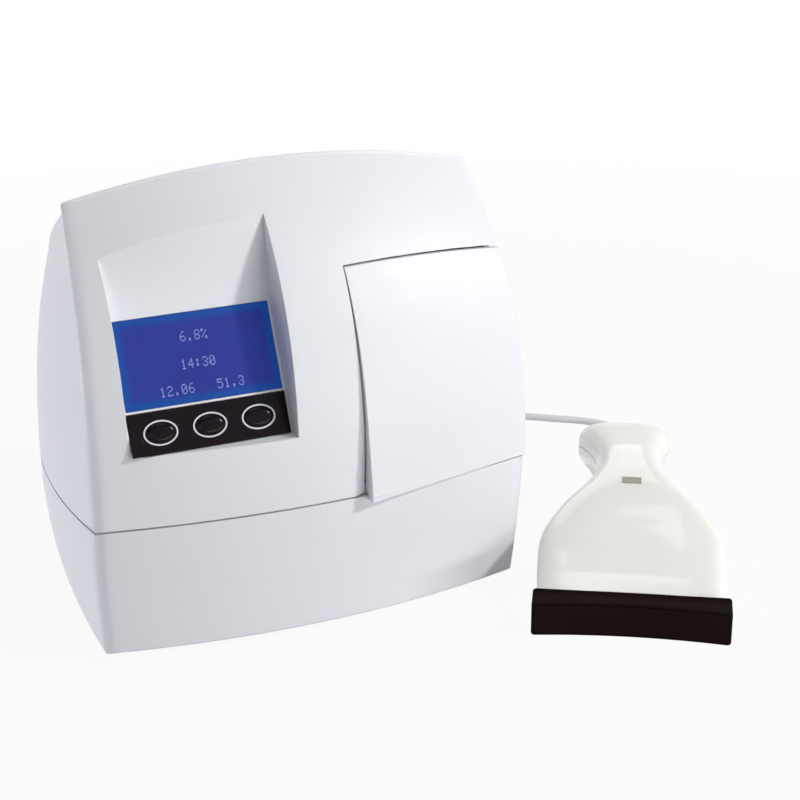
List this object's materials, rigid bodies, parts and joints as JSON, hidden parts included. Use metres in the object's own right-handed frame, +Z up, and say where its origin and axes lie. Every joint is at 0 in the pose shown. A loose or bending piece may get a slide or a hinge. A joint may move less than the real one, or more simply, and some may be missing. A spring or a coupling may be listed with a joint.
{
  "type": "glycated hemoglobin analyzer",
  "caption": "Bench analyzer with a sloped display and key recess, a top-hinged lid over the cartridge chamber, and a corded hand scanner that lies beside it.",
  "frame": {"origin": "on the table, under the middle of the box round the analyzer and its hand scanner", "axes": "+X to the right seen from the front, +Y to the back, +Z up"},
  "size_m": [0.3456, 0.3255, 0.2056],
  "materials": {
    "casing_white": "fine satin moulded",
    "inner_grey": "moulded",
    "display_blue": "lit blue display behind clear plastic",
    "key_black": "polished",
    "bright_trim": "bright",
    "dark_plastic": "moulded",
    "steel": "zinc plated",
    "brass": "machined",
    "gear_white": "moulded",
    "board_green": "solder mask",
    "rubber_grey": "soft",
    "lens_clear": "polished",
    "scanner_white": "polished",
    "nose_black": "satin",
    "scan_red": "polished filter",
    "lamp_beige": "diffusing",
    "cord_grey": "smooth jacket"
  },
  "bodies": {
    "casing": {"base_tray": "casing_white", "upper_casing": "casing_white", "lid_pin_left": "steel", "lid_pin_right": "steel", "foot_front_right": "rubber_grey", "foot_front_left": "rubber_grey", "foot_rear_right": "rubber_grey", "foot_rear_left": "rubber_grey", "case_screw_1": "steel", "case_screw_2": "steel", "case_screw_3": "steel", "case_screw_4": "steel", "display_window": "display_blue", "display_module": "dark_plastic", "key_ring_left": "bright_trim", "key_ring_middle": "bright_trim", "key_ring_right": "bright_trim", "key_panel": "key_black", "key_board": "board_green", "chassis_plate": "steel", "chamber_liner": "inner_grey", "motor_bracket": "steel", "carrier_motor": "steel", "optics_block": "dark_plastic", "optics_lens": "lens_clear", "main_board": "board_green", "power_inlet": "dark_plastic", "data_socket": "steel", "scanner_socket": "dark_plastic", "switch_bezel": "dark_plastic", "cord_lead": "cord_grey", "cord_coil": "cord_grey", "cord_tail": "cord_grey", "cord_plug": "dark_plastic"},
    "lid": {"lid": "casing_white"},
    "key_left": {"key_left": "key_black"},
    "key_middle": {"key_middle": "key_black"},
    "key_right": {"key_right": "key_black"},
    "power_rocker": {"power_rocker": "dark_plastic"},
    "carrier": {"cartridge_carrier": "gear_white", "carrier_gear": "gear_white"},
    "motor_pinion": {"motor_pinion": "brass"},
    "scanner": {"scanner_top_shell": "scanner_white", "scanner_bottom_shell": "scanner_white", "scanner_nose": "nose_black", "scanner_window": "scan_red", "scanner_lamp": "lamp_beige", "scanner_board": "board_green", "scanner_strain_relief": "cord_grey"},
    "scanner_trigger": {"scanner_trigger": "dark_plastic"}
  },
  "joints": [
    {"name": "lid_hinge", "type": "hinge", "parent": "casing", "child": "lid", "pos_m": [-0.03668, -0.00134, 0.1553], "axis": [-0.9854, -0.162, 0.0524], "range_deg": [0, 65]},
    {"name": "key_left_press", "type": "slide", "parent": "casing", "child": "key_left", "axis": [0, 0.9092, -0.4163], "range_m": [0, 0.0009], "stiffness_N_per_m": 1200, "springref_m": -0.0004},
    {"name": "key_middle_press", "type": "slide", "parent": "casing", "child": "key_middle", "axis": [0, 0.9092, -0.4163], "range_m": [0, 0.0009], "stiffness_N_per_m": 1200, "springref_m": -0.0004},
    {"name": "key_right_press", "type": "slide", "parent": "casing", "child": "key_right", "axis": [0, 0.9092, -0.4163], "range_m": [0, 0.0009], "stiffness_N_per_m": 1200, "springref_m": -0.0004},
    {"name": "power_rocker_tilt", "type": "hinge", "parent": "casing", "child": "power_rocker", "pos_m": [-0.05758, 0.10343, 0.036], "axis": [-1, 0, 0], "range_deg": [0, 18]},
    {"name": "carrier_turn", "type": "hinge", "parent": "casing", "child": "carrier", "pos_m": [-0.00358, 0.02923, 0.108], "axis": [-1, 0, 0], "range_deg": [0, 90]},
    {"name": "pinion_turn", "type": "hinge", "parent": "casing", "child": "motor_pinion", "pos_m": [-0.04138, 0.05523, 0.108], "axis": [-1, 0, 0], "range_deg": [-300, 0]},
    {"name": "scanner_lift", "type": "slide", "parent": "casing", "child": "scanner", "axis": [0, 0, 1], "range_m": [0, 0.07]},
    {"name": "scanner_trigger_press", "type": "slide", "parent": "scanner", "child": "scanner_trigger", "axis": [0, 0, 1], "range_m": [0, 0.0015], "stiffness_N_per_m": 600, "springref_m": -0.001}
  ],
  "couplings": [
    {"joint": "pinion_turn", "follows": "carrier_turn", "ratio": -3.3333}
  ]
}
